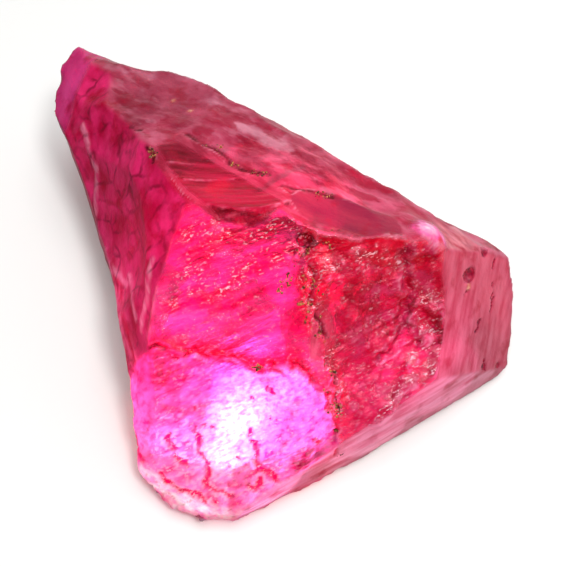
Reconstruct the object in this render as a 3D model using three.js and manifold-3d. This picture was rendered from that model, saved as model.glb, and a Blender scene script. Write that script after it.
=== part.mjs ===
// Raw ruby crystal: one broken, unpolished lump of red corundum, in millimetres, +Z up.
// It lies on its flat basal face. The +X end keeps a smooth growth face and, below it, a low prism wall;
// every other side is a fracture, hollowed by shallow shell-shaped flake scars.
// The body is the convex hull of its corners, and each scar is cut from it with a round-bottomed lens.
import * as THREE from "three";
import { ConvexGeometry } from "three/addons/geometries/ConvexGeometry.js";
import { mergeVertices } from "three/addons/utils/BufferGeometryUtils.js";
import Module from "manifold-3d";

const wasm = await Module();
wasm.setup();

// Corners of the unflaked block, as [x, y, z], with the basal face at z = 0.
const CREST = [
  [-13.3, 10.2, 18.0],
  [-9.0, 2.4, 19.2],
  [-2.1, 2.0, 20.6],
  [1.3, 0.2, 20.7],
  [6.9, -0.9, 19.8],
  [12.8, -0.5, 18.0],
  [14.8, -0.9, 17.0],
];
const WEST_SHOULDER = [
  [-11.7, -4.2, 15.3],
  [-12.5, -8.3, 12.3],
  [-11.9, -12.5, 9.1],
  [-11.8, -16.6, 5.2],
];
const GROWTH_FACE = [
  [14.6, -10.0, 8.0],
  [23.1, -5.6, 1.3],
  [23.6, -2.5, 3.7],
  [23.3, 0.9, 7.5],
  [22.5, 2.4, 10.0],
  [19.6, 1.6, 12.9],
];
const PRISM_WALL = [
  [7.1, -14.9, 4.1],
  [-3.8, -21.1, 2.8],
  [0.0, -19.3, 0.8],
  [7.1, -15.6, 0.8],
  [16.9, -9.8, 0.8],
  [22.0, -6.4, 0.9],
];
const TOE = [
  [-7.6, -22.0, 1.2],
  [-5.1, -21.9, 1.2],
  [-10.8, -21.0, 1.4],
  [-13.6, -18.4, 2.2],
  [-14.2, -17.0, 2.7],
];
const NORTH_RIM = [
  [-9.0, 21.5, 15.2],
  [-4.7, 17.6, 15.7],
  [0.0, 13.6, 16.1],
  [3.7, 11.6, 16.2],
  [10.2, 7.0, 15.3],
  [14.1, 4.8, 14.8],
  [17.8, 3.9, 12.8],
];
const TIP = [
  [-23.3, 28.8, 12.5],
  [-19.9, 27.2, 13.2],
  [-24.9, 25.6, 12.0],
  [-25.3, 22.5, 11.0],
  [-25.4, 20.4, 10.5],
];
const NORTH_BELLY = [
  [4.5, 12.4, 7.5],
  [-4.0, 18.8, 7.0],
  [-12.0, 23.5, 7.0],
];
const BASAL_FACE = [
  [-13.5, -16.5, 0],
  [-7.5, -20.3, 0],
  [-1.0, -18.4, 0],
  [8.0, -14.0, 0],
  [15.0, -10.2, 0],
  [21.5, -6.0, 0],
  [20.0, -1.0, 0],
  [7.0, 10.0, 0],
  [-3.0, 17.0, 0],
  [-11.0, 21.0, 0],
  [-17.5, 22.0, 0],
  [-20.0, 15.0, 0],
];

// Flake scars: the middle of each on the block, the way it faces, its rim radius and its depth.
const SCARS = [
  // Front fracture: two broad bowls side by side, and the undercut flake at the foot.
  { at: [-4.1, -4.8, 16.1], facing: [-0.1, -0.61, 0.78], rim: 8.5, depth: 0.9 },
  { at: [8.8, -6.8, 13.1], facing: [0.23, -0.69, 0.68], rim: 7.5, depth: 1.1 },
  { at: [-4.7, -15.4, 7.4], facing: [-0.1, -0.6, 0.79], rim: 8.0, depth: 1.2 },
  // Crest: a lens-shaped flake off the top edge, and a terrace stepping down west of it.
  { at: [4.4, 1.8, 19.5], facing: [0.22, 0.2, 0.96], rim: 4.8, depth: 0.8 },
  { at: [-5.6, 6.2, 19.2], facing: [0, 0.25, 0.97], rim: 6.5, depth: 0.9 },
  // North slope: three overlapping shells.
  { at: [-13.9, 17.8, 16.0], facing: [-0.04, 0.26, 0.97], rim: 7.5, depth: 0.8 },
  { at: [-2.4, 10.9, 17.9], facing: [0.12, 0.31, 0.94], rim: 6.0, depth: 0.8 },
  { at: [8.2, 6.2, 17.0], facing: [0.28, 0.36, 0.89], rim: 5.5, depth: 0.7 },
  { at: [-20.5, 21.5, 14.2], facing: [-0.4, 0.06, 0.92], rim: 4.0, depth: 0.6 },
  // West side: one long hollow at mid height, with smaller ones above and below it.
  { at: [-19.5, 2.0, 5.2], facing: [-0.96, -0.29, 0.05], rim: 18.0, depth: 1.6 },
  { at: [-17.8, 5.6, 10.6], facing: [-0.8, -0.28, 0.53], rim: 7.5, depth: 0.8 },
  { at: [-18.9, 12.9, 13.9], facing: [-0.64, -0.21, 0.74], rim: 6.0, depth: 0.8 },
  { at: [-17.5, -5.9, 6.5], facing: [-0.82, -0.34, 0.45], rim: 6.5, depth: 0.8 },
  { at: [-19.5, 2.0, 3.5], facing: [-0.92, -0.2, -0.35], rim: 7.0, depth: 0.8 },
  { at: [-22.0, 19.5, 5.5], facing: [-0.8, 0.25, -0.54], rim: 5.5, depth: 0.7 },
  // Nicks in the outline.
  { at: [-14.5, 24.4, 14.2], facing: [0.1, 0.75, 0.65], rim: 5.5, depth: 0.7 },
  { at: [0.2, 14.3, 16.1], facing: [0.4, 0.65, 0.65], rim: 4.5, depth: 0.7 },
  { at: [18.9, 2.9, 12.9], facing: [0.55, 0.6, 0.58], rim: 2.2, depth: 0.5 },
  { at: [-24.9, 24.2, 12.0], facing: [-0.9, 0, 0.44], rim: 1.4, depth: 0.5 },
  { at: [15.6, 4.6, 14.2], facing: [0.49, 0.75, 0.44], rim: 1.8, depth: 0.5 },
  // Back.
  { at: [-2.4, 17.5, 10.8], facing: [0.51, 0.86, 0.04], rim: 8.0, depth: 1.1 },
  { at: [8.2, 10.4, 12.0], facing: [0.55, 0.76, 0.35], rim: 6.0, depth: 0.8 },
  { at: [12.5, 8.0, 5.2], facing: [0.57, 0.78, -0.26], rim: 6.5, depth: 0.9 },
  { at: [-14.5, 24.5, 7.0], facing: [0.28, 0.93, -0.25], rim: 5.5, depth: 0.8 },
  { at: [21.0, 3.2, 7.0], facing: [0.72, 0.64, -0.27], rim: 4.0, depth: 0.6 },
];

// Each lens runs on past its rim by this factor, then straight out of the block.
const SCAR_SPREAD = 1.9;
const SCAR_CLEARANCE = 8;
const SCAR_RING_STEP = 2.0;
const SCAR_SIDES = 22;

function block() {
  const corners = [
    ...CREST,
    ...WEST_SHOULDER,
    ...GROWTH_FACE,
    ...PRISM_WALL,
    ...TOE,
    ...NORTH_RIM,
    ...TIP,
    ...NORTH_BELLY,
    ...BASAL_FACE,
  ];
  return new ConvexGeometry(corners.map((corner) => new THREE.Vector3(...corner)));
}

function solid(geometry) {
  const bare = geometry.clone().deleteAttribute("normal").deleteAttribute("uv");
  const merged = mergeVertices(bare, 1e-4);
  return new wasm.Manifold(
    new wasm.Mesh({
      numProp: 3,
      vertProperties: merged.attributes.position.array,
      triVerts: new Uint32Array(merged.index.array),
    }),
  );
}

function geometryOf(body) {
  const { vertProperties, triVerts } = body.getMesh();
  const geometry = new THREE.BufferGeometry();
  geometry.setAttribute("position", new THREE.BufferAttribute(vertProperties, 3));
  geometry.setIndex(new THREE.BufferAttribute(triVerts, 1));
  return geometry;
}

function scarCutter({ at, facing, rim, depth }) {
  const radius = (rim * rim + depth * depth) / (2 * depth);
  const reach = Math.min(rim * SCAR_SPREAD, radius * 0.9);
  const rings = Math.max(5, Math.round(reach / SCAR_RING_STEP));
  const profile = [];
  for (let ring = 0; ring <= rings; ring += 1) {
    const out = (reach * ring) / rings;
    profile.push(new THREE.Vector2(out, radius - depth - Math.sqrt(radius * radius - out * out)));
  }
  profile.push(new THREE.Vector2(reach, SCAR_CLEARANCE), new THREE.Vector2(0, SCAR_CLEARANCE));
  const cutter = new THREE.LatheGeometry(profile, SCAR_SIDES);
  const outward = new THREE.Vector3(...facing).normalize();
  cutter.applyQuaternion(new THREE.Quaternion().setFromUnitVectors(new THREE.Vector3(0, 1, 0), outward));
  return cutter.translate(...at);
}

function settle(body) {
  const { min, max } = body.boundingBox();
  return body.translate([-(min[0] + max[0]) / 2, -(min[1] + max[1]) / 2, -min[2]]);
}

const body = settle(SCARS.reduce((rest, scar) => rest.subtract(solid(scarCutter(scar))), solid(block())));
const corundum = new THREE.MeshStandardMaterial({ color: 0xb3123f, roughness: 0.25, metalness: 0 });
const crystal = new THREE.Mesh(geometryOf(body), corundum);
crystal.name = "ruby_crystal";
const part = new THREE.Group();
part.add(crystal);

export default part;
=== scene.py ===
"""Raw ruby crystal: a broken lump of translucent red corundum, lying on its flat parting face."""
import math
import random

import bpy
import numpy as np
from mathutils import Matrix, Vector
from mathutils.bvhtree import BVHTree


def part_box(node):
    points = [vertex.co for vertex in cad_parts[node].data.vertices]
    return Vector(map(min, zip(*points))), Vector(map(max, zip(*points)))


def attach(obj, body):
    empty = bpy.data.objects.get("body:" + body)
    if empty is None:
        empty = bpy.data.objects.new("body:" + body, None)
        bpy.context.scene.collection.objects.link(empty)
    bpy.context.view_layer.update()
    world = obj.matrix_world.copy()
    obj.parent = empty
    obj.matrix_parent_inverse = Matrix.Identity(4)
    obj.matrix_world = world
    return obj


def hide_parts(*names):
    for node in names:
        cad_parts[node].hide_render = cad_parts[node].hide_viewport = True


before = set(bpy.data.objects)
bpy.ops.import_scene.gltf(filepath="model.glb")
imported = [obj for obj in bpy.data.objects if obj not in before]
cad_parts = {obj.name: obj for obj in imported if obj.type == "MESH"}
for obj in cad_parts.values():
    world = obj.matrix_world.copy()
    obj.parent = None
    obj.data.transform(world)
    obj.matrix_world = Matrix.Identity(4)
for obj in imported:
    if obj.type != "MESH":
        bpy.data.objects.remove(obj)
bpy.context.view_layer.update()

MM = 0.001
chance = random.Random(7)

# The camera and its aim come from the stone's box: the middle of its base, moved by these millimetres.
AIM = (0.9, -3.4, 9.0)
CAMERA_RISE = math.radians(60)
CAMERA_DISTANCE = 95 * MM

# The ways that the main faces look.
GROWTH_WAY = Vector((0.68, -0.52, 0.52)).normalized()
WALL_WAY = Vector((0.49, -0.86, 0.14)).normalized()
FRONT_WAY = Vector((0.05, -0.66, 0.75)).normalized()
WEST_WAY = Vector((-0.70, -0.24, 0.66)).normalized()
# The ways that the lines and grain run on them.
GROWTH_LINES = (0.13, 0.78, 0.61)
WALL_LINES = (0.86, 0.52, 0.0)
FACET_LINES = (1.0, -0.03, 0.0)
FRONT_WAVES = (0.91, 0.32, 0.28)
NORTH_FLAKES = (0.80, -0.60, -0.05)
WEST_FIBRES = (0.23, -0.97, -0.10)

# Lines and places on the surface, in mm.
FRONT_CRACK = [(2.5, -4.5, 19.0), (3.1, -8.0, 16.6), (3.9, -10.3, 14.3), (4.6, -12.6, 11.7),
               (6.2, -16.6, 7.7)]
CRACK_BRANCH = [(2.5, -5.3, 18.7), (5.5, -4.2, 18.6), (8.0, -4.5, 18.0)]
CREST_CRACK = [(0.8, 1.0, 19.3), (3.2, 0.6, 18.9), (5.4, 0.4, 18.4)]
NORTH_SEAM = [(-8.9, 8.6, 17.7), (-7.4, 7.8, 17.8), (-5.7, 6.8, 17.7), (-4.4, 4.9, 17.9), (-2.3, 3.4, 18.3),
              (-0.9, 2.8, 18.6)]
WEST_NICK = [(-12.7, 7.1, 17.9), (-11.9, 5.8, 18.1), (-11.8, 5.0, 18.1)]
NORTH_NICK = [(-14.9, 10.6, 16.3), (-13.5, 9.9, 16.7)]
WEST_BAND = [(-12.2, 6.5, 18.1), (-8.5, 0.6, 19.0), (-6.9, -1.1, 19.4), (-5.1, -2.7, 19.1)]
LEDGE_BAND = [(-9.3, 8.1, 17.8), (-5.0, 5.2, 17.9), (-2.3, 3.0, 18.4), (1.0, -0.6, 20.0)]
# Thin bright scratches across the red facet.
FACET_SCRATCHES = [[(-10.4, 4.4, 18.5), (-6.0, 4.8, 18.2)], [(-4.4, -2.4, 19.4), (0.6, -1.6, 20.4)],
                   [(-8.6, 2.2, 18.7), (-4.0, 2.6, 18.5)]]
FOOT_STEP = [(-11.5, -12.2, 11.9), (-7.0, -12.7, 11.8), (-3.3, -13.2, 11.4), (-1.6, -13.9, 10.8),
             (1.3, -13.7, 11.9), (4.6, -15.3, 9.7), (5.6, -18.0, 6.6), (6.2, -19.4, 3.6)]
# Middle line of the white glow painted on the foot.
FOOT_CORE = [(1.0, -14.8, 10.3), (-2.5, -15.8, 9.0), (-4.0, -17.5, 7.5), (-4.6, -19.6, 5.6)]
# Seams between the shells of the foot, painted red partly as shade.
FOOT_SEAMS = [[(-7.2, -17.6, 6.8), (-6.9, -20.3, 4.8), (-5.8, -22.4, 3.6), (-4.0, -23.6, 2.6)],
              [(-9.7, -18.6, 6.2), (-9.4, -20.0, 5.2), (-8.9, -20.4, 4.9)],
              [(-2.6, -18.0, 7.0), (-1.6, -19.4, 6.0), (-1.9, -21.0, 4.8), (0.4, -21.6, 4.0)],
              [(-11.0, -21.2, 3.6), (-8.6, -22.8, 3.0), (-6.2, -23.9, 2.4)]]
TOE_BEVEL = [(-12.0, -20.5, 2.5), (-7.5, -24.5, 1.5), (-3.5, -25.2, 1.0)]
EAST_GROOVE = [(11.8, -4.9, 17.0), (12.4, -7.1, 14.2), (12.2, -9.8, 11.3), (10.3, -11.8, 10.0)]
EAST_RIDGE = [(14.1, -9.7, 11.2), (13.3, -12.4, 9.0), (11.3, -15.3, 7.4), (9.5, -17.1, 5.7)]
WEST_FOOT = [(-18.5, 3.0, 7.0), (-15.5, -10.6, 7.0), (-12.6, -18.7, 4.5)]
# Raised ribbons where the west side's flakes meet, their pale colour partly painted highlight.
WEST_RIBBONS = [[(-20.5, 13.5, 12.6), (-19.8, 11.5, 12.2), (-19.0, 9.4, 11.4), (-18.8, 7.8, 10.1),
                 (-18.9, 5.9, 8.7), (-18.2, 3.1, 6.6)],
                [(-17.7, 1.3, 7.8), (-16.4, -4.0, 8.0), (-15.2, -7.4, 9.2), (-14.7, -9.8, 8.1)],
                [(-14.6, -3.3, 10.7), (-13.9, -5.8, 11.5), (-13.1, -8.8, 11.8)],
                [(-11.5, -4.8, 15.5), (-12.0, -7.6, 13.9), (-12.4, -10.2, 12.0)],
                [(-10.9, -7.8, 15.1), (-11.3, -9.8, 13.6), (-11.7, -11.0, 12.5)],
                [(-17.5, -0.5, 8.0), (-15.8, -2.4, 9.0), (-14.8, -4.3, 10.2)]]
# Milky flakes on the north side: where each lies, and its half width.
MILKY_FLAKES = [([(-3.0, 10.5, 16.6), (-1.4, 9.5, 16.5), (0.9, 7.7, 16.8)], 1.2),
                ([(-7.4, 14.8, 15.8), (-5.2, 12.9, 16.5)], 0.7),
                ([(-18.0, 21.2, 14.0), (-13.6, 19.2, 14.3)], 0.7)]
# Thin dark seams between the west side's flakes.
WEST_SEAMS = [[(-15.0, 5.0, 14.2), (-15.3, 4.4, 13.1), (-16.0, 4.2, 11.8), (-18.5, 6.4, 9.5)],
              [(-16.0, 4.2, 11.8), (-15.2, 2.5, 12.0), (-14.1, 0.3, 12.8), (-13.6, -1.5, 12.9)],
              [(-14.7, -0.6, 11.3), (-13.6, -2.4, 12.7), (-12.8, -3.1, 14.2)],
              [(-15.4, -4.6, 9.4), (-14.9, -5.1, 9.8)]]
TIP_EDGE = [(-21.8, 24.0, 12.0), (-23.6, 20.5, 12.0), (-24.2, 16.5, 10.5)]
CREST_FLAKE = [(3.4, -0.9, 19.3), (6.4, -1.6, 18.6), (9.6, -2.8, 18.6)]
KNOB = (14.3, -2.7, 17.1)
# Top of the knob, where the painted highlight sits.
KNOB_TOP = (14.0, -2.6, 17.8)
KNOB_BLUSH = (14.9, -4.0, 17.2)
CRACK_HOLLOW = (2.6, -5.0, 18.9)
# Red blotches on the foot: place and radius.
FOOT_BLOTCHES = [((-9.3, -18.8, 6.0), 0.7), ((-1.0, -22.3, 4.1), 1.0), ((-10.5, -22.0, 2.9), 0.6),
                 ((4.2, -19.1, 6.0), 0.5), ((4.9, -16.4, 8.4), 0.8), ((-6.8, -24.0, 2.3), 0.6),
                 ((-7.9, -16.6, 7.6), 0.7)]
BEVEL = (18.0, -1.8, 14.6)
# Bands of sugary grain across the front.
SUGAR_BANDS = [
    [(-8.0, -3.9, 17.8), (-5.5, -3.0, 18.9), (-3.2, -4.9, 17.9), (1.5, -3.4, 19.9)],
    [(-6.5, -4.8, 17.3), (-8.8, -8.4, 14.6)],
    [(-5.6, -7.7, 15.2), (-2.3, -6.3, 16.6), (1.3, -5.6, 18.0)],
    [(4.9, -6.4, 18.0), (8.1, -5.6, 18.0), (11.4, -5.6, 16.7)],
    [(14.2, -7.8, 13.5), (15.3, -10.2, 10.5), (14.9, -13.8, 7.6)],
    EAST_RIDGE, FRONT_CRACK,
]
# Outline, seen from above, of the small red facet under the north seam.
RED_FACET = [(-11.6, 6.8), (-9.0, 7.6), (-2.2, 3.0), (1.0, -1.4), (-0.6, -3.0), (-2.0, -3.5), (-3.4, -3.2),
             (-5.3, -2.6), (-7.0, -1.1), (-8.5, 0.6)]
# Three-sided etch pits on the growth face: place, radius and depth.
ETCH_PITS = [((18.7, -4.6, 12.7), 0.95, 0.5), ((20.3, -2.1, 12.9), 0.6, 0.4),
             ((21.0, -10.2, 4.0), 0.45, 0.5), ((22.8, -9.4, 2.5), 0.4, 0.5)]
# Upright slots that the etching left on the growth face, and places stained by rust; the place by the large
# etch pit is a painted glint.
ETCH_SLOTS = [[(18.0, -5.9, 12.4), (18.2, -4.4, 13.5)], [(18.6, -5.9, 11.7), (19.2, -4.0, 12.8)],
              [(18.3, -6.9, 11.2), (18.4, -6.4, 11.6)], [(21.8, -2.3, 10.9), (21.8, -1.8, 11.4)],
              [(21.3, -5.4, 8.5), (21.4, -3.9, 9.8)], [(21.6, -5.6, 7.9), (21.8, -4.9, 8.4)],
              [(20.9, -11.3, 3.0), (21.0, -9.5, 4.6)], [(19.6, -7.9, 7.8), (19.8, -6.8, 8.6)]]
RUST_AND_GLINT_SPOTS = [(-10.7, 14.9, 15.2), (-8.8, 13.0, 16.0), (18.6, -5.5, 12.0)]

# How fine the stone's mesh is.
VOXEL = 0.242 * MM


# ---------------------------------------------------------------- modelling helpers

def only(piece):
    """Makes a piece the one selected and active object."""
    bpy.ops.object.select_all(action="DESELECT")
    piece.select_set(True)
    bpy.context.view_layer.objects.active = piece


def copy_of(name):
    """A merged copy of a CAD node's mesh, as the active object."""
    source = bpy.data.objects[name]
    piece = source.copy()
    piece.data = source.data.copy()
    piece.data.materials.clear()
    bpy.context.collection.objects.link(piece)
    piece.parent = None
    piece.matrix_world = Matrix()
    only(piece)
    bpy.ops.object.mode_set(mode="EDIT")
    bpy.ops.mesh.select_all(action="SELECT")
    bpy.ops.mesh.remove_doubles(threshold=0.001 * MM)
    bpy.ops.object.mode_set(mode="OBJECT")
    return piece


def apply(piece, kind, **settings):
    """Adds a modifier to a piece and applies it."""
    modifier = piece.modifiers.new(kind.title(), kind)
    for key, value in settings.items():
        setattr(modifier, key, value)
    bpy.context.view_layer.objects.active = piece
    bpy.ops.object.modifier_apply(modifier=modifier.name)


def joined(pieces, name):
    """Joins pieces into one, with its place in its mesh."""
    bpy.ops.object.select_all(action="DESELECT")
    for piece in pieces:
        piece.select_set(True)
    bpy.context.view_layer.objects.active = pieces[0]
    bpy.ops.object.join()
    bpy.ops.object.transform_apply(location=True, rotation=True, scale=True)
    whole = bpy.context.object
    whole.name = name
    return whole


def places(piece):
    """The vertices of a piece, in millimetres."""
    flat = np.empty(len(piece.data.vertices) * 3)
    piece.data.vertices.foreach_get("co", flat)
    return flat.reshape(-1, 3) / MM


def facings(piece):
    """The normals at the vertices of a piece."""
    flat = np.empty(len(piece.data.vertices) * 3)
    piece.data.vertices.foreach_get("normal", flat)
    return flat.reshape(-1, 3)


def ramp(values, low, high):
    """0 at low and 1 at high, smooth between; high may be the lower of the two."""
    t = np.clip((values - low) / (high - low), 0, 1)
    return t * t * (3 - 2 * t)


def soften(piece, weights, rounds):
    """Spreads weights to their neighbours along the edges."""
    ends = np.empty(len(piece.data.edges) * 2, dtype=np.int64)
    piece.data.edges.foreach_get("vertices", ends)
    a, b = ends.reshape(-1, 2).T
    count = np.bincount(ends, minlength=len(weights))
    for _ in range(rounds):
        total = np.bincount(a, weights[b], len(weights)) + np.bincount(b, weights[a], len(weights))
        weights = 0.5 * weights + 0.5 * total / np.maximum(count, 1)
    return weights


def ridges(piece, rounds):
    """How far each vertex stands above the mean of those around it, in mm: more than zero on ridges."""
    spot = places(piece)
    mean = np.stack([soften(piece, spot[:, axis], rounds) for axis in range(3)], axis=1)
    return ((spot - mean) * facings(piece)).sum(axis=1)


def group(piece, name, weights):
    """Keeps weights as a vertex group, for modifiers, and as an attribute, for the material."""
    made = piece.vertex_groups.new(name=name)
    steps = np.round(np.clip(weights, 0, 1) * 50).astype(int)
    for step in range(1, 51):
        made.add(np.nonzero(steps == step)[0].tolist(), step / 50, "REPLACE")
    attribute = piece.data.attributes.new("look_" + name, "FLOAT", "POINT")
    attribute.data.foreach_set("value", np.clip(weights, 0, 1).astype(np.float32))
    return name


def from_line(points, line):
    """Distance of each point from a broken line, all in millimetres."""
    best = np.full(len(points), 1e9)
    for start, end in zip(np.array(line[:-1], float), np.array(line[1:], float)):
        run = end - start
        t = np.clip((points - start) @ run / (run @ run), 0, 1)
        best = np.minimum(best, np.linalg.norm(points - start - t[:, None] * run, axis=1))
    return best


def from_place(points, place):
    """Distance of each point from one place, in millimetres."""
    return np.linalg.norm(points - np.array(place), axis=1)


def inside(points, outline):
    """1 for points that lie inside an outline, seen from above."""
    x, y = points[:, 0], points[:, 1]
    crossings = np.zeros(len(points), dtype=int)
    for (x0, y0), (x1, y1) in zip(outline, outline[1:] + outline[:1]):
        between = (y0 > y) != (y1 > y)
        crossings += between & (x < x0 + (y - y0) * (x1 - x0) / (y1 - y0 + 1e-12))
    return (crossings % 2).astype(float)


def lay(direction):
    """The turn that lays a pattern's X axis along a direction."""
    return Vector(direction).to_track_quat("X", "Z").to_euler()


def carve(piece, kind, size, depth, where=None, middle=0.5, along=(1, 0, 0), centre=(0, 0, 0), **settings):
    """Displaces a piece by a solid texture: size is its grain along its axes and depth its height, in mm."""
    texture = bpy.data.textures.new(kind.lower(), kind)
    texture.noise_scale = 1.0
    for key, value in settings.items():
        setattr(texture, key, value)
    bpy.ops.object.empty_add(location=[c * MM for c in centre], rotation=lay(along))
    guide = bpy.context.object
    guide.scale = [s * MM for s in (size if hasattr(size, "__len__") else (size, size, size))]
    bpy.context.view_layer.update()
    apply(piece, "DISPLACE", texture=texture, texture_coords="OBJECT", texture_coords_object=guide,
          strength=depth * MM, mid_level=middle, vertex_group=where or "")
    bpy.data.objects.remove(guide)


def press(piece, depth, where):
    """Sinks the weighted part of a piece by a depth in mm, or raises it where the depth is below zero."""
    apply(piece, "DISPLACE", strength=-depth * MM, mid_level=0.0, vertex_group=where)


# ---------------------------------------------------------------- the stone

def pit_cutters():
    """Three-sided pyramids that cut the etch pits, point down into the growth face."""
    cutters = []
    turn = (-GROWTH_WAY).to_track_quat("Z", "Y").to_euler()
    for place, radius, depth in ETCH_PITS:
        bpy.ops.mesh.primitive_cone_add(vertices=3, radius1=radius * 2 * MM, radius2=0,
                                        depth=depth * 2 * MM, location=Vector(place) * MM, rotation=turn)
        cutters.append(bpy.context.object)
    return joined(cutters, "pit_cutters")


stone = copy_of("ruby_crystal")
stone.name = "ruby_stone"
cutters = pit_cutters()
apply(stone, "BOOLEAN", operation="DIFFERENCE", object=cutters, solver="EXACT")
bpy.data.objects.remove(cutters)
apply(stone, "REMESH", mode="VOXEL", voxel_size=VOXEL, adaptivity=0.0)
apply(stone, "SMOOTH", factor=0.5, iterations=2)

spot, way = places(stone), facings(stone)
growth = soften(stone, ramp(way @ GROWTH_WAY, 0.93, 0.97), 2)
wall = soften(stone, ramp(way @ WALL_WAY, 0.93, 0.97), 2)
under = soften(stone, ramp(way[:, 2], -0.9, -0.98), 2)
flat = np.clip(growth + wall + under, 0, 1)
facet = soften(stone, inside(spot, RED_FACET) * ramp(spot[:, 2], 15, 16), 3)
front = soften(stone, ramp(way @ FRONT_WAY, 0.80, 0.88), 6) * (1 - flat) * (1 - facet)
east = front * ramp(spot[:, 0], 4.5, 7.0)
lens = ramp(from_line(spot, CREST_FLAKE), 2.3, 1.9) * (1 - front) * (1 - flat)
bands = np.maximum(ramp(from_line(spot, WEST_BAND), 0.55, 0.15),
                   ramp(from_line(spot, LEDGE_BAND), 1.0, 0.5)) * (1 - front)
smooth = np.clip(facet + lens + bands, 0, 1)
flaked = (1 - front) * (1 - flat) * (1 - smooth)
west = flaked * soften(stone, ramp(way @ WEST_WAY, 0.70, 0.82), 6)

# The foot is what lies below the step. West of the crack the front is painted pale pink as glow, with a red
# painted glow along the step and the crack.
step_line, crack_line = np.array(FOOT_STEP), np.array(FRONT_CRACK)
below = spot[:, 1] - np.interp(spot[:, 0], step_line[:, 0], step_line[:, 1])
beyond = spot[:, 0] - np.interp(-spot[:, 1], -crack_line[:, 1], crack_line[:, 0])
foot = ramp(below, 0.2, -0.3) * ramp(spot[:, 0], 6.6, 6.0) * (1 - flat)
painted_glow = front * (1 - foot) * ramp(beyond, 0.3, -0.3)
painted_red_glow = ramp(from_line(spot, FOOT_STEP), 2.6, 0.6) + ramp(from_line(spot, FRONT_CRACK[1:]), 1.8, 0.6)
painted_red_glow = np.clip(painted_red_glow, 0, 1) * front * (1 - foot) * ramp(beyond, 1.5, 1.0)
lumpy = front * (1 - foot) * ramp(beyond, 0.0, 2.0)
sugar = sum(ramp(from_line(spot, band), 1.7, 0.4) for band in SUGAR_BANDS)
sugar = np.clip(sugar, 0, 1) * front * (1 - foot)
# Painted glow: white along the foot's core and at its toe.
core = ramp(from_line(spot, FOOT_CORE), 3.6, 0.6) * foot
toe = np.maximum(ramp(from_line(spot, TOE_BEVEL), 1.6, 0.9),
                 ramp(spot[:, 2], 3.0, 2.2) * ramp(spot[:, 0], -1, -2))
toe *= foot * ramp(spot[:, 1], -19.0, -20.0)
fibre = ramp(from_line(spot, WEST_FOOT), 4.5, 2.5) * flaked * ramp(spot[:, 1], 2.0, -5.0)
# The tip, which the material paints magenta as glow.
tip = ramp(from_line(spot, TIP_EDGE), 3.2, 2.4) * flaked
west = west * (1 - tip)
bevel = ramp(from_place(spot, BEVEL), 3.6, 2.6) * flaked
westward = soften(stone, ramp(way @ WEST_WAY, 0.55, 0.75), 4) * flaked
northward = flaked * (1 - westward)

# Painted glow: hot pink on the foot's west part, and pale pink on the wall beside the foot.
hot = foot * ramp(spot[:, 0], -3.0, -6.5)
rim = wall * ramp(spot[:, 0], 5.0, -1.0)

REGIONS = {"broken": 1 - flat, "front": front, "flaked": flaked, "growth": growth, "wall": wall, "west": west,
           "foot": foot, "painted_glow": painted_glow, "painted_red_glow": painted_red_glow, "lumpy": lumpy, "sugar": sugar, "facet": facet,
           "lens": lens, "bands": bands, "core": core, "toe": toe, "fibre": fibre, "tip": tip,
           "bevel": bevel, "east": east, "westward": westward, "northward": northward, "hot": hot,
           "rim": rim}
for name, weights in REGIONS.items():
    group(stone, name, weights)

# Slow swells, then flakes within flakes on the broken sides.
carve(stone, "CLOUDS", 7.0, 0.5, "broken", noise_basis="ORIGINAL_PERLIN", noise_depth=1)
carve(stone, "VORONOI", 7.5, 0.7, "northward", middle=0.55)
carve(stone, "VORONOI", 6.0, 0.25, "westward", middle=0.55)
carve(stone, "VORONOI", (2.4, 3.0, 2.0), 0.14, "west", middle=0.55, centre=(3, 1, 2))
carve(stone, "VORONOI", (3.2, 1.5, 1.5), 0.22, "northward", middle=0.55, along=NORTH_FLAKES)
carve(stone, "CLOUDS", 1.4, 0.18, "northward", noise_depth=2)
# The front: lumps on its east half, fine slanting waves all over it, and a sugary grain in bands.
carve(stone, "VORONOI", 3.4, 0.7, "lumpy", middle=0.45, centre=(1, 2, 0))
carve(stone, "CLOUDS", 1.5, 0.45, "lumpy", noise_depth=2)
carve(stone, "CLOUDS", (3.0, 0.7, 0.7), 0.30, "front", along=FRONT_WAVES, noise_depth=2)
carve(stone, "CLOUDS", (0.9, 0.7, 0.7), 0.18, "sugar", noise_type="HARD_NOISE", noise_depth=2)
# The foot: a heap of small shells.
carve(stone, "VORONOI", 3.4, 0.8, "foot", middle=0.5)
carve(stone, "CLOUDS", 1.0, 0.30, "foot", noise_type="HARD_NOISE", noise_depth=2)
# Growth lines: long fine ridges along the smooth faces, and combing on the red facet.
carve(stone, "CLOUDS", (7.0, 0.9, 0.9), 0.05, "growth", along=GROWTH_LINES, noise_depth=1)
carve(stone, "CLOUDS", (6.0, 1.0, 1.0), 0.16, "wall", along=WALL_LINES, noise_depth=2)
carve(stone, "CLOUDS", (9.0, 0.6, 0.6), 0.12, "facet", along=FACET_LINES, noise_depth=1)
carve(stone, "CLOUDS", (7.0, 0.6, 0.6), 0.07, "fibre", along=WEST_FIBRES, noise_depth=2)

spot = places(stone)
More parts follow.
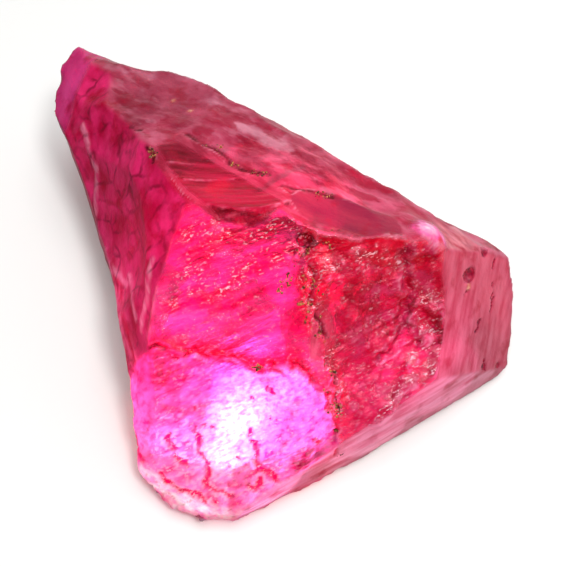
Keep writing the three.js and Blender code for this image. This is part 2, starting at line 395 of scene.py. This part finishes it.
# Cracks wander a little to both sides of their lines.
stray = 0.35 * np.sin(spot[:, [1, 2, 0]] * 1.9) + 0.15 * np.sin(spot[:, [2, 0, 1]] * 5.3)
strayed, nudged = spot + stray, spot + 0.4 * stray
slots = np.min([from_line(strayed, slot) for slot in ETCH_SLOTS], axis=0)
rust_and_glint = np.min([from_place(spot, place) for place in RUST_AND_GLINT_SPOTS], axis=0)
group(stone, "rust_and_glint", 0.8 * ramp(rust_and_glint, 0.42, 0.2))
press(stone, 0.35, group(stone, "crack", ramp(from_line(strayed, FRONT_CRACK), 0.40, 0.1)))
press(stone, 0.35, group(stone, "branch", ramp(from_line(strayed, CRACK_BRANCH), 0.40, 0.1)))
press(stone, 0.12, group(stone, "crest", ramp(from_line(nudged, CREST_CRACK), 0.36, 0.10)))
hairline = np.min([from_line(nudged, line) for line in (NORTH_SEAM, WEST_NICK, NORTH_NICK)], axis=0)
press(stone, 0.12, group(stone, "seam", ramp(hairline, 0.36, 0.10)))
scratches = np.min([from_line(spot, line) for line in FACET_SCRATCHES], axis=0)
press(stone, -0.05, group(stone, "scratches", 0.5 * ramp(scratches, 0.24, 0.08) * facet))
group(stone, "blush", ramp(from_place(strayed, KNOB_BLUSH), 0.9, 0.5) * (1 - growth))
press(stone, 0.35, group(stone, "step", ramp(from_line(strayed, FOOT_STEP), 0.50, 0.1)))
press(stone, 0.50, group(stone, "groove", ramp(from_line(strayed, EAST_GROOVE), 1.0, 0.2)))
press(stone, -0.40, group(stone, "ridge", ramp(from_line(strayed, EAST_RIDGE), 1.2, 0.2)))
press(stone, 0.90, group(stone, "hollow", ramp(from_place(strayed, CRACK_HOLLOW), 1.4, 0.2)))
press(stone, -0.80, group(stone, "dome", ramp(from_place(spot, KNOB), 2.6, 0.2) * (1 - growth)))
# The knob is painted bright pink as glow, with a painted white highlight on its top.
group(stone, "knob", ramp(from_place(nudged, KNOB), 2.1, 1.5) * (1 - growth))
group(stone, "knob_top", ramp(from_place(nudged, KNOB_TOP), 1.3, 0.2) * (1 - growth))
pits = np.min([from_place(spot, place) - 0.8 * radius for place, radius, _ in ETCH_PITS], axis=0)
slotted = np.maximum(ramp(slots, 0.32, 0.16) * growth, ramp(pits, 0.2, -0.1))
press(stone, 0.12, group(stone, "slots", slotted))
seams = np.min([from_line(strayed, seam) for seam in FOOT_SEAMS], axis=0)
blotches = np.min([from_place(strayed + stray, place) - radius for place, radius in FOOT_BLOTCHES], axis=0)
seamed = np.maximum(ramp(seams, 0.50, 0.25), ramp(blotches, 0.1, -0.2)) * foot
press(stone, 0.20, group(stone, "seams", seamed))

ribbons = np.min([from_line(nudged, ribbon) for ribbon in WEST_RIBBONS], axis=0)
press(stone, -0.12, group(stone, "ribbons", 0.75 * ramp(ribbons, 0.55, 0.15) * flaked))
creased = np.min([from_line(nudged, seam) for seam in WEST_SEAMS], axis=0)
press(stone, 0.08, group(stone, "nicks", 0.7 * ramp(creased, 0.30, 0.10) * flaked))

milk = np.min([from_line(strayed, line) - half for line, half in MILKY_FLAKES], axis=0)
group(stone, "milk", 0.8 * ramp(milk, 0.15, -0.45) * flaked)

# Ridges and creases, for a painted highlight on sharp edges and painted shade in creases.
height = ridges(stone, 3)
group(stone, "edges", ramp(height, 0.015, 0.06) * (1 - flat))
group(stone, "creases", ramp(-height, 0.015, 0.06) * (1 - flat))

# The parting face underneath is flat.
only(stone)
for vertex in stone.data.vertices:
    vertex.select = vertex.co.z < 0.02 * MM
bpy.ops.object.mode_set(mode="EDIT")
bpy.ops.mesh.select_mode(type="VERT")
bpy.ops.transform.resize(value=(1, 1, 0), center_override=(0, 0, 0))
bpy.ops.object.mode_set(mode="OBJECT")
only(stone)
bpy.ops.object.shade_smooth()
skin = BVHTree.FromObject(stone, bpy.context.evaluated_depsgraph_get())


# ---------------------------------------------------------------- what is sealed in the stone

def depth_under(point):
    """How deep a point lies under the stone's surface, in mm, or less than zero outside."""
    nearest, normal, _, distance = skin.find_nearest(point)
    return (distance if (nearest - point).dot(normal) > 0 else -distance) / MM


def trim(sheet, cover):
    """Cuts away the part of a sheet that isn't at least a cover in mm under the surface."""
    only(sheet)
    for vertex in sheet.data.vertices:
        vertex.select = depth_under(vertex.co) < cover
    for kept in list(sheet.data.edges) + list(sheet.data.polygons):
        kept.select = False
    bpy.ops.object.mode_set(mode="EDIT")
    bpy.ops.mesh.select_mode(type="VERT")
    bpy.ops.mesh.delete(type="VERT")
    bpy.ops.object.mode_set(mode="OBJECT")
    return sheet


def veil(middle, size, turn):
    """One healed crack: a buckled sheet, kept where it is well inside the stone."""
    bpy.ops.mesh.primitive_grid_add(x_subdivisions=16, y_subdivisions=16, size=size * MM,
                                    location=[c * MM for c in middle], rotation=turn)
    sheet = bpy.context.object
    bpy.ops.object.transform_apply(location=True, rotation=True, scale=True)
    carve(sheet, "CLOUDS", 0.4 * size, 0.30 * size, noise_depth=2)
    return trim(sheet, 0.5)


def curtain(line, drop, sway):
    """A crack that runs from a line on the surface down into the stone."""
    bpy.ops.mesh.primitive_grid_add(x_subdivisions=16, y_subdivisions=16, size=1)
    sheet = bpy.context.object
    legs = len(line) - 1
    for vertex in sheet.data.vertices:
        along, fall = (vertex.co.x + 0.5) * legs, vertex.co.y + 0.5
        leg = min(int(along), legs - 1)
        top = Vector(line[leg]).lerp(Vector(line[leg + 1]), along - leg)
        wave = Vector((math.sin(9 * fall + top.y), math.cos(7 * fall + top.x), 0)) * sway * fall
        vertex.co = (top + Vector(drop) * (0.06 + 0.94 * fall) + wave) * MM
    return trim(sheet, 0.3)


low, high = [np.array(corner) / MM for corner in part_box("ruby_crystal")]
sheets = []
while len(sheets) < 22:
    middle = [chance.uniform(a, b) for a, b in zip(low, high)]
    if depth_under(Vector(middle) * MM) > 1.2:
        turn = (chance.uniform(-0.6, 0.6) + 0.9, chance.uniform(-0.7, 0.7), chance.uniform(0, 6.28))
        made = veil(middle, chance.uniform(3.0, 8.5), turn)
        if len(made.data.polygons) > 10:
            sheets.append(made)
        else:
            bpy.data.objects.remove(made)
sheets.append(curtain(FRONT_CRACK, (0, 6.5, -11.0), 0.5))
sheets.append(curtain(FOOT_STEP, (0, 5.0, -9.0), 0.4))
veils = joined(sheets, "healed_cracks")
apply(veils, "SOLIDIFY", thickness=0.04 * MM, offset=0)
only(veils)
bpy.ops.object.shade_smooth()


def grains_along(line, clusters, spread, largest):
    """Crumbs of iron-stained rock in little heaps along a crack, half sunk in the surface."""
    crumbs = []
    steps = [(Vector(a), Vector(b)) for a, b in zip(line, line[1:])]
    for _ in range(clusters):
        a, b = chance.choice(steps)
        heap = a.lerp(b, chance.random()) + Vector([chance.gauss(0, spread) for _ in range(3)])
        for _ in range(chance.randint(3, 9)):
            near = heap + Vector([chance.gauss(0, 0.22) for _ in range(3)])
            place, _, _, _ = skin.find_nearest(near * MM)
            radius = chance.uniform(0.35, 1.0) ** 1.5 * largest
            bpy.ops.mesh.primitive_ico_sphere_add(subdivisions=1, radius=radius * MM, location=place,
                                                  rotation=[chance.uniform(0, 6.28) for _ in range(3)],
                                                  scale=[chance.uniform(0.4, 1.4) for _ in range(3)])
            crumbs.append(bpy.context.object)
    return crumbs


# Each row: the line that the heaps lie along, how many heaps, how far they stray and the largest crumb,
# in mm.
GRAIN_RUNS = [(FRONT_CRACK, 14, 0.35, 0.17), (CRACK_BRANCH, 5, 0.25, 0.15), (CREST_CRACK, 5, 0.20, 0.13),
              (NORTH_SEAM, 9, 0.12, 0.14), (FOOT_STEP[5:], 4, 0.20, 0.15),
              ([(1.3, -7.0, 16.8), (0.7, -8.0, 15.8)], 4, 0.15, 0.18),
              ([(-1.9, -13.5, 11.3), (-1.5, -13.7, 11.2)], 3, 0.10, 0.20),
              ([(2.5, -9.0, 15.6), (2.9, -11.2, 14.0)], 3, 0.20, 0.16),
              ([(-11.8, 5.7, 18.2), (-12.3, 6.4, 18.2)], 4, 0.15, 0.18),
              ([(5.9, -16.2, 8.3), (6.2, -17.0, 7.4)], 4, 0.15, 0.18)]
crumbs = []
for run in GRAIN_RUNS:
    crumbs += grains_along(*run)
grains = joined(crumbs, "crack_grains")


# ---------------------------------------------------------------- materials

def linear(hex_code):
    """An sRGB hex colour as linear red, green, blue and alpha."""
    channels = [int(hex_code[i:i + 2], 16) / 255 for i in (1, 3, 5)]
    return [c / 12.92 if c <= 0.04045 else ((c + 0.055) / 1.055) ** 2.4 for c in channels] + [1.0]


def node(tree, kind, settings=None, **links):
    """Adds a node: settings go to its properties or sockets, and links join other sockets to its inputs."""
    made = tree.nodes.new(kind)
    for key, value in (settings or {}).items():
        if hasattr(made, key):
            setattr(made, key, value)
        else:
            made.inputs[key].default_value = value
    for key, source in links.items():
        tree.links.new(source, made.inputs[key.replace("_", " ")])
    return made


def blank(name):
    """An empty material, its node tree and its Object coordinates."""
    material = bpy.data.materials.new(name)
    material.use_nodes = True
    tree = material.node_tree
    tree.nodes.clear()
    return material, tree, node(tree, "ShaderNodeTexCoord").outputs["Object"]


def feed(tree, socket, value):
    """Links a socket to an input, or sets the input to a plain value."""
    if isinstance(value, bpy.types.NodeSocket):
        tree.links.new(value, socket)
    else:
        socket.default_value = value


def maths(tree, operation, a, b=0.0):
    """One sum on two numbers, kept between 0 and 1."""
    made = node(tree, "ShaderNodeMath", {"operation": operation, "use_clamp": True})
    feed(tree, made.inputs[0], a)
    feed(tree, made.inputs[1], b)
    return made.outputs[0]


def mix(tree, a, b, factor, kind="RGBA"):
    """Goes from a to b, two colours or two numbers, as the factor goes from 0 to 1."""
    first, second, result = {"RGBA": (6, 7, 2), "FLOAT": (2, 3, 0)}[kind]
    made = node(tree, "ShaderNodeMix", {"data_type": kind})
    feed(tree, made.inputs[0], factor)
    feed(tree, made.inputs[first], a)
    feed(tree, made.inputs[second], b)
    return made.outputs[result]


def clouds(tree, place, size, detail=3.0, stretch=1.0, along=(1, 0, 0), low=0.35, high=0.65):
    """Cloudy noise of a grain size in mm, drawn out along a direction, as 0 to 1."""
    mapping = node(tree, "ShaderNodeMapping", {
        "vector_type": "TEXTURE", "Rotation": lay(along),
        "Scale": (size * stretch * MM, size * MM, size * MM)}, Vector=place)
    noise = node(tree, "ShaderNodeTexNoise", {"Scale": 1.0, "Detail": detail},
                 Vector=mapping.outputs["Vector"])
    spread = node(tree, "ShaderNodeMapRange", {"From Min": low, "From Max": high},
                  Value=noise.outputs["Fac"])
    return spread.outputs["Result"]


# How each region of the stone looks, from the broken sides to the smallest spots: its deep and pale colour,
# the grain of the change between them in mm, how far and which way that is drawn out, how clear it is and
# how rough. Each lies over those before it.
FINISHES = [
    ("flaked", "#A82448", "#E46C8C", 2.6, 1.6, (0.8, -0.6, 0.0), 0.54, 0.28),
    ("west", "#B8063C", "#F02C74", 2.2, 1.5, (0.2, -0.9, -0.1), 0.16, 0.34),
    ("fibre", "#D8083C", "#FF5C90", 0.6, 8.0, WEST_FIBRES, 0.30, 0.34),
    ("bevel", "#C05C68", "#F8A4AC", 1.2, 6.0, (0.5, -0.8, 0.0), 0.45, 0.28),
    ("front", "#C4002C", "#FC2C60", 1.5, 1.5, FRONT_WAVES, 0.80, 0.22),
    # Painted glow: the front west of the crack pale pink, and red along the step and the crack.
    ("painted_glow", "#FF0C6C", "#FF78DC", 1.6, 3.5, FRONT_WAVES, 0.88, 0.24),
    ("painted_red_glow", "#F00020", "#FF1440", 1.6, 2.0, FRONT_WAVES, 0.90, 0.24),
    ("facet", "#640012", "#981838", 0.5, 14.0, FACET_LINES, 0.52, 0.22),
    ("bands", "#A0243F", "#CC506C", 0.6, 4.0, (0.7, -0.7, 0.2), 0.45, 0.32),
    ("lens", "#942044", "#B43450", 1.4, 4.0, (0.9, -0.3, 0.0), 0.34, 0.30),
    ("growth", "#CC4260", "#E8748E", 0.8, 4.0, GROWTH_LINES, 0.42, 0.34),
    ("wall", "#DC5C7C", "#FFACC8", 0.7, 7.0, WALL_LINES, 0.42, 0.34),
    # Painted glow, over the lamps under the foot: the foot pink, hot pink to the west, white along its core,
    # pale pink on the wall beside it and white at the toe.
    ("foot", "#E80C70", "#FF74D8", 0.7, 1.5, FRONT_WAVES, 0.88, 0.50),
    ("hot", "#E80850", "#FF60B4", 0.9, 2.0, FRONT_WAVES, 0.88, 0.50),
    ("core", "#FF60D0", "#FFFFFF", 0.35, 1.8, FRONT_WAVES, 0.88, 0.65),
    ("rim", "#E04090", "#FFB4F0", 0.5, 8.0, WALL_LINES, 0.50, 0.34),
    ("toe", "#FF8CD4", "#FFFFFF", 0.5, 2.0, (0.8, -0.5, 0), 0.60, 0.60),
    # Painted glow on the knob, and a painted highlight on its top.
    ("knob", "#FF2C90", "#FF80CC", 1.2, 1.0, (1, 0, 0), 0.30, 0.18),
    ("knob_top", "#FF90D8", "#FFE8F8", 0.5, 1.0, (1, 0, 0), 0.20, 0.22),
    ("blush", "#E80C40", "#FF4470", 0.8, 1.0, (1, 0, 0), 0.60, 0.18),
    # Painted glow: the tip magenta.
    ("tip", "#D42878", "#F450A0", 2.4, 3.0, (0.2, 0.9, 0.2), 0.40, 0.24),
    ("milk", "#C05878", "#F0A8BC", 1.2, 4.0, NORTH_FLAKES, 0.35, 0.30),
    # Ribbons: pale partly in their own colour, partly as painted highlight.
    ("ribbons", "#E04C80", "#FFA8C4", 0.5, 6.0, WEST_FIBRES, 0.30, 0.30),
    ("nicks", "#7C0828", "#C02048", 0.5, 1.0, (1, 0, 0), 0.40, 0.30),
    ("slots", "#700428", "#B00C3C", 0.5, 1.0, (1, 0, 0), 0.40, 0.24),
    ("hollow", "#380410", "#900828", 0.6, 1.0, (1, 0, 0), 0.70, 0.20),
    ("scratches", "#E83868", "#FF90A8", 0.4, 1.0, (1, 0, 0), 0.30, 0.20),
    # Rust stains, and a painted glint by the large etch pit.
    ("rust_and_glint", "#B86040", "#F0B890", 0.4, 1.0, (1, 0, 0), 0.10, 0.40),
]
STAINED = ("crack", "branch", "crest", "seam")

# Clear ruby, which soaks up green first. The index is a little under corundum's 1.77, and the gloss is
# well under a polished gem's.
RUBY_IOR = 1.65
RUBY_GLOSS = 0.15
RUBY_TINT = "#FF90AC"
RUBY_PASSES = (0.95, 0.0, 0.55, 1.0)
RUBY_DENSITY = 220.0


def raw_corundum():
    """Ruby as broken from the ground: glassy on the flakes, sugary in front, satin on the growth faces."""
    material, tree, place = blank("raw_corundum")

    def look(name):
        return node(tree, "ShaderNodeAttribute", {"attribute_name": "look_" + name}).outputs["Fac"]

    def both(a, b):
        """Where two patterns overlap, or a share of one."""
        return maths(tree, "MULTIPLY", a, b)

    def dyed(colour, cover, share=1.0):
        """The body colour with another laid over part of it."""
        return mix(tree, body, linear(colour), both(cover, share))

    def dark_edges(cells, near, far, most):
        """How near a point is to a cell's edge: most at near, and nothing at far."""
        fade = node(tree, "ShaderNodeMapRange", {
            "From Min": near, "From Max": far, "To Min": most, "To Max": 0.0},
                    Value=cells.outputs["Distance"])
        return fade.outputs["Result"]

    body, clear, rough = linear("#B02848"), 0.75, 0.24
    for region, deep, pale, size, stretch, along, clearness, roughness in FINISHES:
        tone = clouds(tree, place, size, detail=4.0, stretch=stretch, along=along)
        colour = mix(tree, linear(deep), linear(pale), tone)
        body = mix(tree, body, colour, look(region))
        clear = mix(tree, clear, clearness, look(region), "FLOAT")
        rough = mix(tree, rough, roughness, look(region), "FLOAT")

    # Deep crimson patches, where nothing in the stone scatters light back, and milky ones, where much does.
    body = dyed("#B00028", clouds(tree, place, 2.2, low=0.56, high=0.70), 0.7)
    milky = both(clouds(tree, place, 3.4, detail=5.0, low=0.52, high=0.74), look("northward"))
    body = dyed("#E88CA8", milky, 0.7)
    streaks = clouds(tree, place, 0.7, detail=5.0, stretch=3.0, along=NORTH_FLAKES, low=0.54, high=0.68)
    rich = clouds(tree, place, 1.8, detail=5.0, stretch=1.7, along=(0.85, -0.45, 0.05), low=0.53, high=0.60)
    north = maths(tree, "SUBTRACT", look("flaked"), maths(tree, "MAXIMUM", look("tip"), look("westward")))
    body = dyed("#F0A0B8", both(streaks, 0.45), north)
    body = dyed("#A80C34", both(rich, 0.75), north)
    # East of the crack the front is frosted in mauve patches.
    frost = both(clouds(tree, place, 2.0, detail=5.0, low=0.50, high=0.60), look("east"))
    body = dyed("#CC4070", frost, 0.55)
    clear = mix(tree, clear, 0.5, frost, "FLOAT")
    # West side: small cells, dark red along their bent seams.
    bend = node(tree, "ShaderNodeTexNoise", {"Scale": 1 / (1.6 * MM)}, Vector=place)
    bend = node(tree, "ShaderNodeVectorMath", {"operation": "SCALE", "Scale": 1.3 * MM},
                Vector=bend.outputs["Color"])
    bent = node(tree, "ShaderNodeVectorMath", {"operation": "ADD"}, Vector=place)
    tree.links.new(bend.outputs["Vector"], bent.inputs[1])
    cells = node(tree, "ShaderNodeTexVoronoi", {"feature": "DISTANCE_TO_EDGE", "Scale": 1 / (2.6 * MM)},
                 Vector=bent.outputs["Vector"])
    seamed = both(look("west"), clouds(tree, place, 2.4, low=0.42, high=0.62))
    body = dyed("#6A0A20", dark_edges(cells, 0.02, 0.10, 0.7), seamed)
    # North side: crimson along the edges of flakes 3 to 6 mm across.
    turned = node(tree, "ShaderNodeMapping", {
        "vector_type": "TEXTURE", "Rotation": lay(NORTH_FLAKES), "Scale": (5.5 * MM, 2.6 * MM, 2.6 * MM)},
                  Vector=bent.outputs["Vector"])
    flakes = node(tree, "ShaderNodeTexVoronoi", {"feature": "DISTANCE_TO_EDGE", "Scale": 1.0},
                  Vector=turned.outputs["Vector"])
    some = both(north, clouds(tree, place, 2.8, low=0.46, high=0.56))
    body = dyed("#A01038", dark_edges(flakes, 0.03, 0.20, 0.6), some)
    # Red runs in the foot, between its shells and along the step above them: partly the stone's own red,
    # partly painted shade in the seams and a painted shadow line along the step.
    red_runs_and_shade = both(clouds(tree, place, 2.4, detail=4.0, low=0.62, high=0.67), look("foot"))
    red_runs_and_shade = maths(tree, "MAXIMUM", red_runs_and_shade, maths(tree, "MAXIMUM", look("step"), look("seams")))
    body = dyed("#D00028", red_runs_and_shade)
    # Sharp edges are painted pale as highlight, and painted shade darkens the creases.
    body = dyed("#FFC0D8", maths(tree, "SUBTRACT", look("edges"), look("westward")), 0.5)
    body = dyed("#70001C", look("creases"), 0.6)
    # Open cracks are stained brown.
    stain = 0.0
    for name in STAINED:
        stain = maths(tree, "MAXIMUM", stain, look(name))
    body = dyed("#34100A", both(stain, clouds(tree, place, 0.8, low=0.30, high=0.50)), 0.9)

    # Tiny pale flecks, painted glints: thick in the sugary bands, thin over the rest of the front.
    patches = both(look("sugar"), clouds(tree, place, 1.3, low=0.42, high=0.56))
    speckle = both(look("front"), clouds(tree, place, 0.9, low=0.45, high=0.65))
    wet = maths(tree, "MAXIMUM", patches, both(speckle, 0.5))
    body = dyed("#B00028", patches, 0.6)
    painted_glints = clouds(tree, place, 0.24, detail=2.0, stretch=1.8, along=FRONT_WAVES, low=0.57, high=0.64)
    painted_glints = both(painted_glints, wet)
    body = dyed("#FFD0DC", painted_glints)
    clear = mix(tree, clear, 0.4, painted_glints, "FLOAT")

    # Fine slanting waves and a faint tooth of about 0.3 mm, under a wet-looking skin of sugar grains of
    # about 0.4 mm.
    waves = clouds(tree, place, 0.30, detail=3.0, stretch=4.0, along=FRONT_WAVES)
    waved = node(tree, "ShaderNodeBump", {"Distance": 0.04 * MM}, Height=waves, Strength=look("front"))
    tooth = node(tree, "ShaderNodeBump", {"Distance": 0.03 * MM, "Strength": 0.5},
                 Height=clouds(tree, place, 0.35, detail=4.0), Normal=waved.outputs["Normal"])
    sugar = clouds(tree, place, 0.36, detail=2.0, stretch=2.0, along=FRONT_WAVES, low=0.30, high=0.70)
    grain = node(tree, "ShaderNodeBump", {"Distance": 0.12 * MM, "Strength": 1.0}, Height=sugar,
                 Normal=waved.outputs["Normal"])

    surface = node(tree, "ShaderNodeBsdfPrincipled", {
        "IOR": RUBY_IOR, "Specular Tint": linear(RUBY_TINT), "Specular IOR Level": RUBY_GLOSS,
        "Coat Roughness": 0.10, "Coat IOR": 1.6},
                   Base_Color=body, Roughness=rough, Transmission_Weight=clear,
                   Normal=tooth.outputs["Normal"], Coat_Weight=wet, Coat_Normal=grain.outputs["Normal"])
    volume = node(tree, "ShaderNodeVolumeAbsorption", {"Color": RUBY_PASSES, "Density": RUBY_DENSITY})
    node(tree, "ShaderNodeOutputMaterial", Surface=surface.outputs["BSDF"], Volume=volume.outputs["Volume"])
    return material


def healed_crack():
    """A crack that has grown shut round tiny bubbles: a pale pink gauze, full of gaps."""
    material, tree, place = blank("healed_crack")
    gauze = clouds(tree, place, 1.1, detail=5.0, low=0.40, high=0.62)
    cover = maths(tree, "ADD", 0.10, maths(tree, "MULTIPLY", gauze, 0.35))
    surface = node(tree, "ShaderNodeBsdfPrincipled", {"Base Color": linear("#F08CB4"), "Roughness": 0.45},
                   Alpha=cover)
    node(tree, "ShaderNodeOutputMaterial", Surface=surface.outputs["BSDF"])
    return material


def iron_stained_rock():
    """Crumbs of host rock stained by iron: dark brown with rusty gold specks."""
    material, tree, place = blank("iron_stained_rock")
    colour = mix(tree, linear("#48180C"), linear("#D08850"), clouds(tree, place, 0.3, low=0.42, high=0.60))
    surface = node(tree, "ShaderNodeBsdfPrincipled", {"Roughness": 0.42}, Base_Color=colour)
    node(tree, "ShaderNodeOutputMaterial", Surface=surface.outputs["BSDF"])
    return material


stone.data.materials.clear()
stone.data.materials.append(raw_corundum())
veils.data.materials.append(healed_crack())
grains.data.materials.append(iron_stained_rock())
for piece in (stone, veils, grains):
    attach(piece, "root")
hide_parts("ruby_crystal")


# ---------------------------------------------------------------- floor, light and camera

bpy.ops.object.select_all(action="DESELECT")
bpy.ops.mesh.primitive_plane_add(size=4, location=(0, 0, -0.05 * MM))
floor = bpy.context.object
floor.name = "floor"
# The white of the floor isn't mirrored in the stone, which would veil its steep sides.
floor.visible_glossy = False
paper, tree, _ = blank("white_paper")
surface = node(tree, "ShaderNodeBsdfPrincipled", {"Base Color": linear("#F6F6F4"), "Roughness": 0.9})
node(tree, "ShaderNodeOutputMaterial", Surface=surface.outputs["BSDF"])
floor.data.materials.append(paper)

# A pale room, brightest towards the north-east and dim in front.
world = bpy.data.worlds.new("studio")
bpy.context.scene.world = world
world.use_nodes = True
sky = world.node_tree
sky.nodes.clear()
aim = node(sky, "ShaderNodeVectorMath", {"operation": "DOT_PRODUCT"})
aim.inputs[1].default_value = Vector((0.75, 0.60, -0.1)).normalized()
sky.links.new(node(sky, "ShaderNodeTexCoord").outputs["Generated"], aim.inputs[0])
glow = node(sky, "ShaderNodeMapRange", {
    "interpolation_type": "SMOOTHSTEP", "From Min": -0.4, "From Max": 0.9, "To Min": 0.06, "To Max": 0.70},
            Value=aim.outputs["Value"])
shade = node(sky, "ShaderNodeBackground", {"Color": (1, 1, 1, 1)}, Strength=glow.outputs["Result"])
node(sky, "ShaderNodeOutputWorld", Surface=shade.outputs["Background"])


def softbox(name, place, aim, size, radiance):
    """A round or oval lamp that the camera doesn't see; its place, aim and size (width, depth) are in mm."""
    light = bpy.data.lights.new(name, "AREA")
    light.shape = "ELLIPSE"
    light.size, light.size_y = size[0] * MM, size[1] * MM
    # Power of a lamp that looks this bright from in front: radiance times pi times its area.
    light.energy = radiance * math.pi * math.pi * light.size * light.size_y / 4
    lamp = bpy.data.objects.new(name, light)
    bpy.context.collection.objects.link(lamp)
    lamp.location = Vector(place) * MM
    lamp.rotation_euler = (Vector(aim) - Vector(place)).to_track_quat("-Z", "Y").to_euler()
    lamp.visible_camera = False


softbox("overhead", (60, 90, 560), (0, 0, 0), (480, 480), 3.0)
# Two small boxes in front give the wet-looking glints.
softbox("key", (100, -100, 300), (0, 0, 10), (80, 80), 28)
softbox("fill", (-70, -110, 300), (0, 0, 10), (60, 60), 15)
# Lamps inside the stone, just above its base, light it through: brightest at its foot, then under the front's
# west half, and faint elsewhere. They aren't part of the stone.
softbox("core_lamp", (-2.6, -11.8, 1.2), (-2.6, -11.8, 20), (8, 8), 5.0)
softbox("foot_lamp", (-4.5, -12.5, 1.0), (-4.5, -12.5, 20), (19, 14), 2.9)
softbox("toe_lamp", (-5.8, -18.6, 0.9), (-5.8, -18.6, 20), (15, 11), 1.4)
softbox("front_lamp", (-4.0, 1.0, 0.8), (-4.0, 1.0, 20), (18, 22), 1.6)
softbox("bed_lamp", (3.0, -1.0, 0.6), (3.0, -1.0, 20), (28, 22), 0.8)
softbox("west_lamp", (-12.8, 2.0, 0.6), (-12.8, 2.0, 20), (6, 20), 0.8)
softbox("corner_lamp", (6.8, -14.0, 0.6), (6.8, -14.0, 20), (11, 8), 0.8)
softbox("edge_lamp", (14.5, -8.5, 0.7), (14.5, -8.5, 20), (9, 9), 0.8)
softbox("back_lamp", (-9.0, 13.0, 0.6), (-9.0, 13.0, 20), (13, 7), 0.5)

base = (Vector(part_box("ruby_crystal")[0]) + Vector(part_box("ruby_crystal")[1])) / 2
base.z = 0
back = Vector((0, -math.cos(CAMERA_RISE), math.sin(CAMERA_RISE)))
bpy.ops.object.camera_add(location=base + Vector(AIM) * MM + back * CAMERA_DISTANCE,
                          rotation=(math.pi / 2 - CAMERA_RISE, 0, 0))
camera = bpy.context.object
camera.data.lens = 60
camera.data.sensor_width = 36
camera.data.clip_start = MM
bpy.context.scene.camera = camera
bpy.context.scene.view_settings.view_transform = "Standard"
